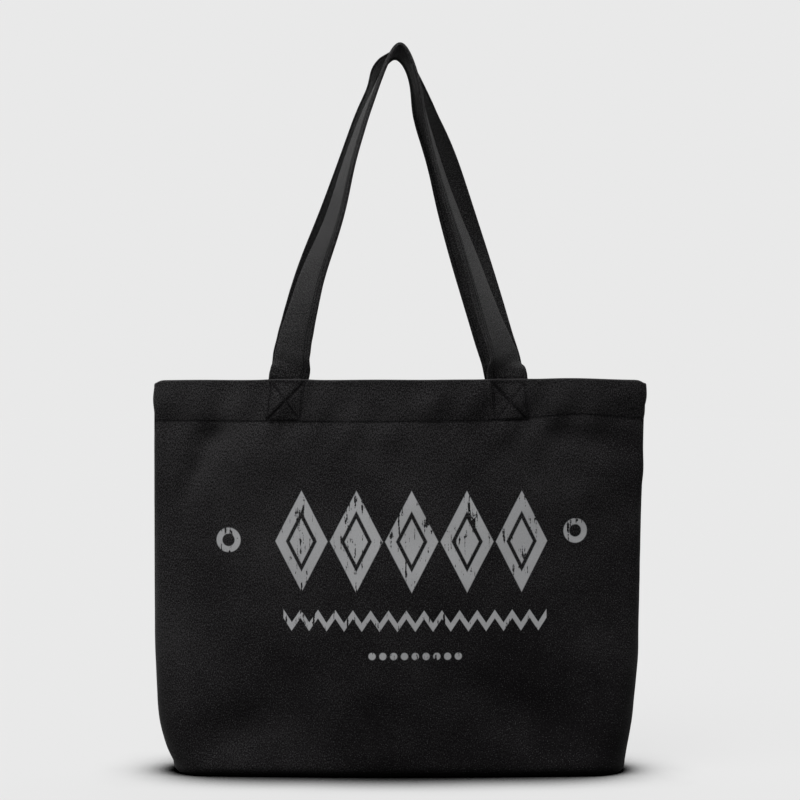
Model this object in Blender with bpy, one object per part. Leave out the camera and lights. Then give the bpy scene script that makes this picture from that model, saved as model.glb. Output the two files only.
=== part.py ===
"""A canvas tote bag: two boxed panels, a turned-in hem and two handles sewn on with boxed crosses.

Metres, +Z up. The origin is the middle of the base, which stands on Z = 0. The front faces -Y.
The bag is made of a front half and a back half. Each is one outline that shrinks by a given inset,
so every layer of cloth lies parallel to the one outside it, a named gap away.
"""
import math

import bmesh
import bpy
import numpy as np
from mathutils import Vector

# Body of the bag
BODY_HEIGHT = 0.340         # floor to the folded top edge
MOUTH_WIDTH = 0.430         # left to right at the top edge
MOUTH_DEPTH = 0.056         # front to back across the open mouth
MOUTH_END_RADIUS = 0.005    # how tightly the cloth turns at a side seam, at the top
BASE_WIDTH = 0.386          # left to right along the floor
BASE_DEPTH = 0.080          # front to back along the floor
BASE_END_RADIUS = 0.036     # how widely the cloth turns at the floor's ends
FLOOR_FOLD = 0.009          # radius of the fold where the sides turn under
WIDENING = 6                # how soon the sides reach the mouth's width on the way up

# Cloth and thread
CLOTH = 0.0010              # body canvas
FACING = 0.0008             # turned-in layer of the hem
STRAP = 0.0020              # folded handle, four layers
GAP = 0.0003                # between two pieces that touch
THREAD_RADIUS = 0.0004
STITCH_WIDTH = 0.0011       # one sewn line of a boxed cross
STITCH_HEIGHT = 0.0006

# Hem, seams and handles
HEM_DEPTH = 0.0355          # top edge to the hem's stitch row
HEM_ALLOWANCE = 0.0035      # facing below the stitch row
SEAM_WIDTH = 0.008          # sewn allowance inside the bag
SEAM_THICKNESS = 0.0024
SEAM_SETBACK = 0.0006       # side seam in from the inside of the cloth
CORNER_REACH = 0.55         # how far out a boxed corner's seam lies, in end radii of the floor
CORNER_HALF = 0.8           # half its length, in end radii of the floor
STRAP_WIDTH = 0.035
STRAP_SPACING = 0.189       # centre to centre of a handle's two ends
HANDLE_RISE = 0.288         # top edge to the top of the handles
HANDLE_SPREAD = 0.026       # how broadly the handle rounds over at its top
HANDLE_PARTING = 0.001      # between the two handles where they lean together
TWIST_HASTE = 2.5           # how soon the handle turns edge on above the hem
HINGE_LIFT = 0.0012         # hinge line above the top edge
STRAP_LIFT = 0.0010         # sewn end of the strap above the top edge
CROSS_MARGIN = 2 * STITCH_WIDTH     # boxed cross in from the top edge and from the hem's stitch row
LAP_INSET = 0.0045          # handle's stitch row in from its inner edge
LAP_CLEAR = 0.006           # stitch row stops this far short of the strap's cut

# Fineness of the solids
FACE_STEPS = 18
END_STEPS = 4
WALL_STEPS = 9
FOLD_STEPS = 3
HANDLE_STEPS = 44
CURVE_SAMPLES = 4001        # points that a handle's length is measured on
THREAD_SIDES = 5

FRONT = -1
BACK = 1
FACING_INSET = CLOTH + GAP
STRAP_INSET = FACING_INSET + FACING + GAP
SEAM_INSET = CLOTH + GAP + SEAM_SETBACK
STITCH_LINE = STRAP_WIDTH / 2 - LAP_INSET
FOLD_LINE = STITCH_LINE - STRAP_WIDTH / 3
STRAP_LINES = (STRAP_WIDTH / 2, STITCH_LINE, FOLD_LINE, -STRAP_WIDTH / 2)
HEM_LINE = BODY_HEIGHT - HEM_DEPTH

CANVAS_BLACK = (0.018, 0.018, 0.020)
FACING_BLACK = (0.022, 0.022, 0.024)
STRAP_BLACK = (0.030, 0.030, 0.032)
SEAM_BLACK = (0.014, 0.014, 0.015)
THREAD_BLACK = (0.008, 0.008, 0.009)
THREAD_ROUGHNESS = 0.8


# ---------------------------------------------------------------- outline of the bag

def mix(low, high, share):
    return low + (high - low) * share


def section(z):
    """Half width, half depth and end radius of the bag at height z."""
    up = min(max(z, FLOOR_FOLD) / BODY_HEIGHT, 1.0)
    half_width = mix(BASE_WIDTH, MOUTH_WIDTH, 1 - (1 - up) ** WIDENING) / 2
    half_depth = mix(BASE_DEPTH, MOUTH_DEPTH, up * up * (3 - 2 * up)) / 2 - GAP / 2
    end_radius = mix(BASE_END_RADIUS, MOUTH_END_RADIUS, 1 - (1 - up) ** 2)
    return half_width, half_depth, end_radius


def arcs(z):
    """The half outline is one broad arc between two end arcs: reach, broad radius, end radius, turn."""
    half_width, half_depth, end_radius = section(z)
    reach = half_width - end_radius
    rise = half_depth - end_radius
    broad = (reach ** 2 + half_depth ** 2 - end_radius ** 2) / (2 * rise)
    turn = math.asin(reach / (broad - end_radius))
    return reach, broad, end_radius, turn


def outline_point(z, inset, angle):
    """X and depth from the centre plane of the outline, shrunk by inset, where it faces angle."""
    reach, broad, end_radius, turn = arcs(z)
    if abs(angle) > turn:
        radius = end_radius - inset
        return math.copysign(reach, angle) + radius * math.sin(angle), radius * math.cos(angle)
    radius = broad - inset
    half_depth = section(z)[1]
    return radius * math.sin(angle), radius * math.cos(angle) - (broad - half_depth)


def outline_row(z, inset, side, height=None):
    """One half of the outline from left to right, side FRONT or BACK, placed at the given height."""
    turn = arcs(z)[3]
    left_end = np.linspace(-math.pi / 2, -turn, END_STEPS, endpoint=False)
    face = np.linspace(-turn, turn, FACE_STEPS + 1)
    angles = [*left_end, *face, *(-left_end[::-1])]
    level = z if height is None else height
    row = []
    for angle in angles:
        x, depth = outline_point(z, inset, angle)
        row.append(Vector((x, side * (GAP / 2 + depth), level)))
    return row


def face_point(x, z, inset, side):
    """Point of the broad face at x and z, inset into the bag."""
    broad = arcs(z)[1]
    half_depth = section(z)[1]
    depth = math.sqrt((broad - inset) ** 2 - x * x) - (broad - half_depth)
    return Vector((x, side * (GAP / 2 + depth), z))


def wall_heights(low, high, steps):
    """Heights from high down to low, closer together near the floor."""
    return [mix(low, high, (step / steps) ** 1.5) for step in range(steps, -1, -1)]


# ---------------------------------------------------------------- solids

def paint(piece, colour, roughness):
    material = bpy.data.materials.new(piece.name)
    material.use_nodes = True
    shader = material.node_tree.nodes["Principled BSDF"]
    shader.inputs["Base Color"].default_value = (*colour, 1.0)
    shader.inputs["Roughness"].default_value = roughness
    shader.inputs["Metallic"].default_value = 0.0
    piece.data.materials.append(material)


def make_solid(name, points, faces, colour, roughness=0.9):
    """One closed object from points and faces, its faces turned outward."""
    mesh = bpy.data.meshes.new(name)
    mesh.from_pydata([tuple(point) for point in points], [], faces)
    shell = bmesh.new()
    shell.from_mesh(mesh)
    bmesh.ops.recalc_face_normals(shell, faces=shell.faces)
    shell.to_mesh(mesh)
    shell.free()
    piece = bpy.data.objects.new(name, mesh)
    bpy.context.collection.objects.link(piece)
    paint(piece, colour, roughness)
    return piece


def grid_faces(rows, columns, start, closed=False):
    """Quads of a grid of points numbered row by row; closed joins the last column to the first."""
    faces = []
    for row in range(rows - 1):
        for column in range(columns if closed else columns - 1):
            here = start + row * columns + column
            right = start + row * columns + (column + 1) % columns
            faces.append((here, right, right + columns, here + columns))
    return faces


def sheet_solid(name, outside, inside, colour):
    """A thick sheet between two equal grids of points, closed along its four edges."""
    rows, columns = len(outside), len(outside[0])
    count = rows * columns
    points = [point for row in outside for point in row] + [point for row in inside for point in row]
    faces = grid_faces(rows, columns, 0) + grid_faces(rows, columns, count)
    rim = list(range(columns))
    rim += [row * columns + columns - 1 for row in range(1, rows)]
    rim += [(rows - 1) * columns + column for column in range(columns - 2, -1, -1)]
    rim += [row * columns for row in range(rows - 2, 0, -1)]
    for here, there in zip(rim, rim[1:] + rim[:1]):
        faces.append((here, there, there + count, here + count))
    return make_solid(name, points, faces, colour)


def swept_solid(name, rings, colour):
    """A solid through equal rings of points, with a flat cap on each end."""
    columns = len(rings[0])
    points = [point for ring in rings for point in ring]
    faces = grid_faces(len(rings), columns, 0, closed=True)
    faces.append(tuple(range(columns)))
    last = (len(rings) - 1) * columns
    faces.append(tuple(range(last, last + columns)))
    return make_solid(name, points, faces, colour)


def tube(name, path, radius, colour):
    """A round thread along a path of points."""
    rings = []
    for step, point in enumerate(path):
        ahead = path[min(step + 1, len(path) - 1)]
        behind = path[max(step - 1, 0)]
        along = (ahead - behind).normalized()
        across = along.cross(Vector((0, 0, 1)) if abs(along.z) < 0.9 else Vector((0, 1, 0))).normalized()
        other = along.cross(across)
        ring = []
        for turn in range(THREAD_SIDES):
            angle = 2 * math.pi * turn / THREAD_SIDES
            ring.append(point + radius * (math.cos(angle) * across + math.sin(angle) * other))
        rings.append(ring)
    return swept_solid(name, rings, colour)


# ---------------------------------------------------------------- body of the bag

def panel(name, side):
    """Half of the bag: one face, half of each side and half of the floor, in one piece of canvas."""
    outside, inside = [], []
    for z in wall_heights(FLOOR_FOLD, BODY_HEIGHT, WALL_STEPS):
        outside.append(outline_row(z, 0, side))
        inside.append(outline_row(z, CLOTH, side))
    for step in range(1, FOLD_STEPS + 1):
        angle = math.pi / 2 * step / FOLD_STEPS
        for rows, radius in ((outside, FLOOR_FOLD), (inside, FLOOR_FOLD - CLOTH)):
            inset = FLOOR_FOLD - radius * math.cos(angle)
            height = FLOOR_FOLD - radius * math.sin(angle)
            rows.append(outline_row(FLOOR_FOLD, inset, side, height))
    rows, columns = len(outside), len(outside[0])
    count = rows * columns
    points = [point for row in outside for point in row] + [point for row in inside for point in row]
    faces = grid_faces(rows, columns, 0) + grid_faces(rows, columns, count)
    for column in range(columns - 1):
        faces.append((column, column + 1, column + 1 + count, column + count))
    for row in range(rows - 1):
        for edge in (row * columns, row * columns + columns - 1):
            faces.append((edge, edge + columns, edge + columns + count, edge + count))
    floor = [(rows - 1) * columns + column for column in range(columns)]
    faces.append(tuple(floor))
    faces.append(tuple(point + count for point in floor))
    faces.append((floor[0], floor[-1], floor[-1] + count, floor[0] + count))
    return make_solid(name, points, faces, CANVAS_BLACK)


def hem_facing(name, side):
    """The layer of the hem that is turned in over the top edge."""
    heights = (BODY_HEIGHT, HEM_LINE - HEM_ALLOWANCE)
    outside = [outline_row(z, FACING_INSET, side) for z in heights]
    inside = [outline_row(z, FACING_INSET + FACING, side) for z in heights]
    return sheet_solid(name, outside, inside, FACING_BLACK)


def hem_stitch(name, side):
    """The row of stitches around the bottom of the hem, on the outside."""
    row = outline_row(HEM_LINE, -GAP - THREAD_RADIUS, side)
    return tube(name, row[1:-1], THREAD_RADIUS, THREAD_BLACK)


def side_seam(name, end):
    """The two panels' overlocked allowances inside a side seam, end -1 at the left and 1 at the right."""
    low = FLOOR_FOLD + SEAM_WIDTH
    high = HEM_LINE - HEM_ALLOWANCE - GAP
    rings = []
    for z in wall_heights(low, high, WALL_STEPS):
        outer = end * (section(z)[0] - SEAM_INSET)
        inner = outer - end * SEAM_WIDTH
        half = SEAM_THICKNESS / 2
        corners = ((outer, -half), (outer, half), (inner, half), (inner, -half))
        rings.append([Vector((x, y, z)) for x, y in corners])
    return swept_solid(name, rings, SEAM_BLACK)


def block(name, low, high, colour):
    """A plain box between two corners."""
    rings = []
    for z in (low[2], high[2]):
        corners = ((low[0], low[1]), (high[0], low[1]), (high[0], high[1]), (low[0], high[1]))
        rings.append([Vector((x, y, z)) for x, y in corners])
    return swept_solid(name, rings, colour)


def floor_ends():
    """How far the flat floor's end arcs reach in X, and their radius."""
    reach, _, end_radius, _ = arcs(FLOOR_FOLD)
    return reach, end_radius - FLOOR_FOLD


def corner_seam_line():
    """X of the outer edge of the seam across a boxed corner, and its half length in Y."""
    reach, radius = floor_ends()
    return reach + radius * CORNER_REACH, radius * CORNER_HALF


def floor_seams():
    """The seam along the middle of the floor and the one across each boxed corner."""
    edge, half_length = corner_seam_line()
    low = CLOTH + GAP
    high = low + SEAM_THICKNESS
    inner = edge - SEAM_WIDTH
    for name, end in (("left_corner_seam", -1), ("right_corner_seam", 1)):
        x_low, x_high = sorted((end * inner, end * edge))
        block(name, (x_low, -half_length, low), (x_high, half_length, high), SEAM_BLACK)
    half = inner - GAP
    block("base_seam", (-half, -SEAM_WIDTH / 2, low), (half, SEAM_WIDTH / 2, high), SEAM_BLACK)


# ---------------------------------------------------------------- sewn ends of the handles

def strap_end(name, x_middle, side):
    """A handle's end, sewn flat to the inside of the hem."""
    outside, inside = [], []
    for z in (BODY_HEIGHT + STRAP_LIFT, HEM_LINE):
        xs = np.linspace(x_middle - STRAP_WIDTH / 2, x_middle + STRAP_WIDTH / 2, 4)
        level = min(z, BODY_HEIGHT)
        for rows, inset in ((outside, STRAP_INSET), (inside, STRAP_INSET + STRAP)):
            row = [face_point(x, level, inset, side) for x in xs]
            for point in row:
                point.z = z
            rows.append(row)
    return sheet_solid(name, outside, inside, STRAP_BLACK)


def boxed_cross_outline():
    """Outline of a boxed cross and its four openings, flat, centred on the strap's sewn end."""
    across = STRAP_WIDTH - 2 * LAP_INSET
    up = HEM_DEPTH - 2 * CROSS_MARGIN
    half = STITCH_WIDTH / 2
    outer_x, outer_y = across / 2, up / 2
    outer = [(-outer_x, -outer_y), (outer_x, -outer_y), (outer_x, outer_y), (-outer_x, outer_y)]
    inner_x, inner_y = outer_x - STITCH_WIDTH, outer_y - STITCH_WIDTH
    slope = math.hypot(inner_x, inner_y)
    along_x, along_y = half * slope / inner_y, half * slope / inner_x
    openings = []
    for sign in (-1, 1):
        openings.append([(sign * along_x, 0), (sign * inner_x, -inner_y + along_y),
                         (sign * inner_x, inner_y - along_y)])
        openings.append([(0, sign * along_y), (-inner_x + along_x, sign * inner_y),
                         (inner_x - along_x, sign * inner_y)])
    return [outer] + openings


def cross_stitch(name, x_middle, side):
    """The boxed cross that sews a handle on, laid on the outside of the hem."""
    curve = bpy.data.curves.new(name, "CURVE")
    curve.dimensions = "2D"
    curve.fill_mode = "BOTH"
    curve.extrude = STITCH_HEIGHT / 2
    for ring in boxed_cross_outline():
        spline = curve.splines.new("POLY")
        spline.points.add(len(ring) - 1)
        spline.use_cyclic_u = True
        for point, (across, up) in zip(spline.points, ring):
            point.co = (across, up, 0, 1)
    flat = bpy.data.objects.new(name + "_flat", curve)
    bpy.context.collection.objects.link(flat)
    bpy.context.view_layer.update()
    mesh = bpy.data.meshes.new_from_object(flat.evaluated_get(bpy.context.evaluated_depsgraph_get()))
    bpy.data.objects.remove(flat)
    shell = bmesh.new()
    shell.from_mesh(mesh)
    bmesh.ops.remove_doubles(shell, verts=shell.verts, dist=GAP / 10)
    z_middle = BODY_HEIGHT - HEM_DEPTH / 2
    for corner in shell.verts:
        across, up, out = corner.co
        inset = -GAP - STITCH_HEIGHT / 2 - out
        corner.co = face_point(x_middle + across, z_middle + up, inset, side)
    bmesh.ops.recalc_face_normals(shell, faces=shell.faces)
    shell.to_mesh(mesh)
    shell.free()
    piece = bpy.data.objects.new(name, mesh)
    bpy.context.collection.objects.link(piece)
    paint(piece, THREAD_BLACK, THREAD_ROUGHNESS)


# ---------------------------------------------------------------- handles

def handle_curve():
    """Share of the length, X and Z along a handle's middle line, evenly spread over length and turning."""
    half_span = STRAP_SPACING / 2
    apex_z = BODY_HEIGHT + HANDLE_RISE - STRAP / 2
    foot_z = BODY_HEIGHT + STRAP_LIFT + GAP
    steep = (apex_z - foot_z) / (math.hypot(half_span, HANDLE_SPREAD) - HANDLE_SPREAD)
    fine_x = np.linspace(-half_span, half_span, CURVE_SAMPLES)
    fine_z = apex_z - steep * (np.hypot(fine_x, HANDLE_SPREAD) - HANDLE_SPREAD)
    slope = np.arctan(steep * fine_x / np.hypot(fine_x, HANDLE_SPREAD))
    lengths = np.concatenate(([0], np.cumsum(np.hypot(np.diff(fine_x), np.diff(fine_z)))))
    shares = lengths / lengths[-1]
    turning = (slope - slope[0]) / (slope[-1] - slope[0])
    spread = np.linspace(0, 1, HANDLE_STEPS + 1)
    x = np.interp(spread, (shares + turning) / 2, fine_x)
    z = apex_z - steep * (np.hypot(x, HANDLE_SPREAD) - HANDLE_SPREAD)
    return np.interp(x, fine_x, shares), x, z, np.interp(x, fine_x, slope), lengths[-1]


def handle_frames(side):
    """Places along a handle: share of its length, centre, inner-edge direction and outer-face direction."""
    foot_depth = abs(face_point(STRAP_SPACING / 2, BODY_HEIGHT, STRAP_INSET + STRAP / 2, side).y)
    frames = []
    for share, x, z, slope in zip(*handle_curve()[:4]):
        turned = 1 - abs(2 * share - 1) ** TWIST_HASTE
        twist = math.pi / 2 * turned
        half_reach = STRAP_WIDTH / 2 * math.sin(twist)
        y = side * (HANDLE_PARTING / 2 + half_reach + (foot_depth - HANDLE_PARTING / 2) * (1 - turned))
        along = Vector((math.cos(slope), 0, -math.sin(slope)))
        inward = Vector((-math.sin(slope), 0, -math.cos(slope)))
        if turned == 0:
            inward = Vector((-math.copysign(1, x), 0, 0))
            along = Vector((0, 0, -math.copysign(1, x)))
        inner_edge = inward * abs(math.cos(twist)) + Vector((0, side * math.sin(twist), 0))
        outer_face = (along.cross(inner_edge) * side).normalized()
        frames.append((share, Vector((x, y, z)), inner_edge.normalized(), outer_face))
    return frames


def hinge_point(side):
    """Where a handle turns: just outside the folded top edge, on the line across the bag."""
    outside = face_point(STRAP_SPACING / 2, BODY_HEIGHT, -GAP, side)
    return Vector((0, outside.y, BODY_HEIGHT + HINGE_LIFT))


def hang(piece, pivot):
    """Give a moving piece an origin on its joint's axis."""
    for corner in piece.data.vertices:
        corner.co -= pivot.location
    piece.parent = pivot


def handle(name, side):
    """The free loop of a handle and the stitch row along its folded edge, on one pivot."""
    pivot = bpy.data.objects.new(name + "_pivot", None)
    bpy.context.collection.objects.link(pivot)
    pivot.location = hinge_point(side)
    frames = handle_frames(side)
    rings = []
    for _, centre, inner_edge, outer_face in frames:
        skin = outer_face * STRAP / 2
        outer_side = [centre + inner_edge * place + skin for place in STRAP_LINES]
        inner_side = [centre + inner_edge * place - skin for place in reversed(STRAP_LINES)]
        rings.append(outer_side + inner_side)
    hang(swept_solid(name, rings, STRAP_BLACK), pivot)
    stand_off = STRAP / 2 + GAP + THREAD_RADIUS
    clear = LAP_CLEAR / handle_curve()[4]
    path = []
    for share, centre, inner_edge, outer_face in frames:
        if clear <= share <= 1 - clear:
            path.append(centre + inner_edge * STITCH_LINE + outer_face * stand_off)
    hang(tube(name + "_stitch", path, THREAD_RADIUS, THREAD_BLACK), pivot)


# ---------------------------------------------------------------- the whole bag

def clear_scene():
    for item in list(bpy.data.objects):
        bpy.data.objects.remove(item)


def build():
    clear_scene()
    for word, side in (("front", FRONT), ("back", BACK)):
        panel(word + "_panel", side)
        hem_facing(word + "_hem_facing", side)
        hem_stitch(word + "_hem_stitch", side)
        for hand, end in (("left", -1), ("right", 1)):
            x_middle = end * STRAP_SPACING / 2
            strap_end(f"{word}_{hand}_strap_end", x_middle, side)
            cross_stitch(f"{word}_{hand}_cross_stitch", x_middle, side)
        handle(word + "_handle", side)
    side_seam("left_side_seam", -1)
    side_seam("right_side_seam", 1)
    floor_seams()


build()
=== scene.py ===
# %% [markdown]
# # A black canvas tote bag
# The bag is sewn from a few pieces of cloth: two panels that each make one face, half of both sides and
# half of the base, two folded straps, and a lot of thread. A plain model of it already exists, with
# every piece in its place and a hinge for each handle. This lesson loads that model as a fixed frame
# and dresses it: real folds, seams, single stitches, woven cloth and worn ink.

# %% Load the fixed frame
import math

import bpy
import numpy as np
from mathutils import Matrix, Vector


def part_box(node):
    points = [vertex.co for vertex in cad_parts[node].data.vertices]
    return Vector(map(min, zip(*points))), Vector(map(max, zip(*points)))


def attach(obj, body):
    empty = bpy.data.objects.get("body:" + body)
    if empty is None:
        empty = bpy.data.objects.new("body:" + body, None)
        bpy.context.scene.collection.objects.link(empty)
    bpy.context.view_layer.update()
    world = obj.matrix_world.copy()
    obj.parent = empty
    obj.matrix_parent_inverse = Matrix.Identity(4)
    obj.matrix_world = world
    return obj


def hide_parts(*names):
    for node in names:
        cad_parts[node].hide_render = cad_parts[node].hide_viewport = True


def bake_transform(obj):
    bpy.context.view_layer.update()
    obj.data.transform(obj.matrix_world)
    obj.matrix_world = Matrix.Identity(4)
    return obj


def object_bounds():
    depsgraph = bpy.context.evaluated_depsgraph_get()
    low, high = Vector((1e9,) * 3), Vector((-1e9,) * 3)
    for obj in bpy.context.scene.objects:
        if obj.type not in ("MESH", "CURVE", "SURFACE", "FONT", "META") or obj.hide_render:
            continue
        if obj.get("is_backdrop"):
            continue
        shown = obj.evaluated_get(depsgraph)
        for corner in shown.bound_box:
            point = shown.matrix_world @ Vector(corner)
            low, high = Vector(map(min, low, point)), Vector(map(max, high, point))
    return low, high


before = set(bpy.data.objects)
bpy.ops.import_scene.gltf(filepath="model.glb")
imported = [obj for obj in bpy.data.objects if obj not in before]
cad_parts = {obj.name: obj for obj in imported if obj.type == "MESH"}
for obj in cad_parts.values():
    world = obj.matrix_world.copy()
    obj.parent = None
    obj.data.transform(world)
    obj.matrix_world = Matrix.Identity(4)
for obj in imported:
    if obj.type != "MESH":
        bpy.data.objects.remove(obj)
cad_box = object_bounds()

# %% [markdown]
# Every size that follows comes from the frame, so the cloth fits it without any nudging. A node's box
# gives its lowest and highest corners. The front faces -Y, and the back is its mirror.

# %% Sizes read from the frame
panel_low, panel_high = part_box("front_panel")
stitch_low, stitch_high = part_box("front_hem_stitch")
facing_low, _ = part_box("front_hem_facing")
foot_low, foot_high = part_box("front_left_strap_end")
_, handle_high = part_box("front_handle")

HEIGHT = panel_high.z
HALF_WIDTH = panel_high.x
HALF_BASE_DEPTH = -panel_low.y
HALF_MOUTH_DEPTH = -facing_low.y + 0.0013
HEM_LINE = (stitch_low.z + stitch_high.z) / 2
STRAP_WIDTH = foot_high.x - foot_low.x
STRAP_X = abs(foot_low.x + foot_high.x) / 2
HANDLE_TOP = handle_high.z
FRONT, BACK = -1, 1
print(f"body {HALF_WIDTH * 2:.3f} x {HALF_BASE_DEPTH * 2:.3f} x {HEIGHT:.3f} m, strap {STRAP_WIDTH:.3f} m")

# %% [markdown]
# Cloth has its own small sizes. The canvas is 0.7 mm thick. At the top edge it rolls over and runs
# back down inside, and at each side its edge turns in and runs back as a seam allowance.

# %% Sizes of the cloth and thread
CANVAS = 0.0007            # thickness of the canvas
PANEL_GAP = 0.00015        # between the two panels at a seam
HEM_ROLL = 0.00125         # radius of the fold along the top edge
HEM_TURN = 0.0035          # turned-in layer below the stitch row
SEAM_ROLL = 0.0010         # radius of the turn into a side seam
SEAM_RUN = 0.0070          # seam allowance inside the bag
FLOOR_FOLD = 0.009         # radius of the fold around the base
HALF_BASE = 0.193          # half the base's length
BASE_END = 0.036           # radius of the base's ends
MOUTH_END = 0.0045         # radius of the cloth at the side seams, at the top
STRAP_THICKNESS = 0.0022
THREAD = 0.00052           # thread's width
STITCH_LENGTH = 0.0026
STITCH_PITCH = 0.0031


# %% [markdown]
# ## The shape of the standing bag
# Looked at from above, each half of the bag is a broad arc that ends in a tight one. At the mouth the
# ends are pinched by the side seams, and at the base they open into half circles, because the corners
# are boxed. So the outline needs three sizes at each height, and all of them change smoothly.
#
# A real bag isn't symmetric. This one leans out low down on its left side and tapers evenly on its
# right, so each side gets its own width.

# %% Outline of the bag at any height
def ease(value):
    """0 below 0, 1 above 1, and a smooth S between."""
    value = np.clip(value, 0, 1)
    return value * value * (3 - 2 * value)


def half_width(z, hand):
    """Half width of the bag at height z, hand -1 on the left and 1 on the right."""
    up = np.clip(z / HEIGHT, 0, 1)
    if hand < 0:
        return HALF_BASE + 0.0215 * (1 - (1 - up) ** 9) + 0.0005 * up
    return HALF_BASE + 0.0013 + 0.0100 * (1 - (1 - up) ** 7) + 0.0100 * up


def outline_sizes(z):
    """Half depth, end radius, reach of the ends and radius of the broad arc."""
    up = np.clip(z / HEIGHT, 0, 1)
    depth = HALF_BASE_DEPTH + (HALF_MOUTH_DEPTH - HALF_BASE_DEPTH) * ease(up)
    end = BASE_END + (MOUTH_END - BASE_END) * (1 - (1 - up) ** 2.0)
    reach = (half_width(z, -1) + half_width(z, 1)) / 2 - end
    broad = (reach ** 2 + depth ** 2 - end ** 2) / (2 * (depth - end))
    return depth, end, reach, broad


# %% [markdown]
# A flat sheet is laid on that outline column by column. Each column knows which way it faces, as an
# angle from straight ahead: the broad arc first, then the end arc to 90 degrees, then the small roll
# into the side seam to 180 degrees, and last the allowance that runs back inside.

# %% Lay a row of cloth around the outline
FACE_COLUMNS, END_COLUMNS, ROLL_COLUMNS, RUN_COLUMNS = 211, 9, 4, 1
COLUMNS = FACE_COLUMNS + 2 * (END_COLUMNS + ROLL_COLUMNS + RUN_COLUMNS)


def face_shares():
    """Columns of the broad face from -1 to 1, more than twice as close where the straps are sewn on."""
    even = np.linspace(-1, 1, 2001)
    near = np.exp(-((np.abs(even) * HALF_WIDTH - STRAP_X) / (STRAP_WIDTH * 0.55)) ** 4)
    crowd = np.cumsum(1 + 1.6 * near)
    return np.interp(np.linspace(crowd[0], crowd[-1], FACE_COLUMNS), crowd, even)


def row_of_cloth(z, inset, run):
    """X, depth and facing angle of each column of one row."""
    depth, end, reach, broad = outline_sizes(z)
    turn = math.asin(reach / (broad - end))
    face = turn * face_shares()
    side = np.linspace(turn, math.pi / 2, END_COLUMNS + 1)[1:]
    roll = np.linspace(math.pi / 2, math.pi, ROLL_COLUMNS + 1)[1:]
    face_x = (broad - inset) * np.sin(face)
    face_d = (broad - inset) * np.cos(face) - (broad - depth)
    end_inset = inset * np.where(z > FLOOR_FOLD * 1.001, 1.0, 0.45)
    side_x = reach + (end - inset) * np.sin(side) + (inset - end_inset) * ease((side - turn) / 0.5)
    side_d = (end - inset) * np.cos(side)
    squeeze = (depth - SEAM_ROLL) / depth
    face_d, side_d = SEAM_ROLL + face_d * squeeze, SEAM_ROLL + side_d * squeeze
    roll_x = side_x[-1] - SEAM_ROLL + SEAM_ROLL * np.sin(roll)
    roll_d = SEAM_ROLL + SEAM_ROLL * np.cos(roll)
    run_x = roll_x[-1] - run * np.linspace(0, 1, RUN_COLUMNS + 1)[1:]
    right_x = np.concatenate([side_x, roll_x, run_x])
    right_d = np.concatenate([side_d, roll_d, np.zeros(RUN_COLUMNS)])
    right_a = np.concatenate([side, roll, np.full(RUN_COLUMNS, math.pi)])
    x = np.concatenate([-right_x[::-1], face_x, right_x])
    d = np.concatenate([right_d[::-1], face_d, right_d])
    angle = np.concatenate([-right_a[::-1], face, right_a])
    mean = (half_width(z, -1) + half_width(z, 1)) / 2
    x = np.where(x < 0, x * half_width(z, -1) / mean, x * half_width(z, 1) / mean)
    return x, d, angle


# %% [markdown]
# ## How the canvas gives
# New canvas is stiff, so it shows a few broad dents and not many creases. They gather where something
# holds the cloth: beside the handles, under the hem's stitch row, and along the base. Each dent is a
# soft hollow with a place, two radii, a depth and a tilt. Weak waves of several lengths lie over all of
# it, strongest around the hem. They come from a seeded generator, so they are the same each time.
#
# Each strap's end is held by a box of stitches with a cross in it. One of the two diagonals was pulled
# tight and lies deeper than the other lines, so it is last in the list of lines.

# %% Lines of the boxed crosses
FOOT_SHIFT = {(FRONT, -1): -0.0020, (FRONT, 1): -0.0013, (BACK, -1): -0.0040, (BACK, 1): -0.0015}
BOX_HALF = STRAP_WIDTH / 2 - 0.0035
BOX_LEAN = {(FRONT, -1): -0.0040, (FRONT, 1): 0.0030, (BACK, -1): 0.0015, (BACK, 1): -0.0015}


def cross_lines(side, hand):
    """The box and the cross that hold a strap's end, as flat lines of (x, z) points."""
    low, high = HEM_LINE + 0.0006, HEIGHT - 0.0020
    middle = hand * STRAP_X + FOOT_SHIFT[side, hand]
    left, right = middle - BOX_HALF, middle + BOX_HALF
    lean = BOX_LEAN[side, hand]
    low_left, low_right = (left + lean, low), (right + lean, low)
    top_left, top_right = (left, high), (right, high)
    corners = (low_left, low_right, top_right, top_left, low_left)
    lines = [(start, end) for start, end in zip(corners, corners[1:])]
    diagonals = [(low_left, top_right), (top_left, low_right)]
    return lines + diagonals[::hand]


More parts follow.
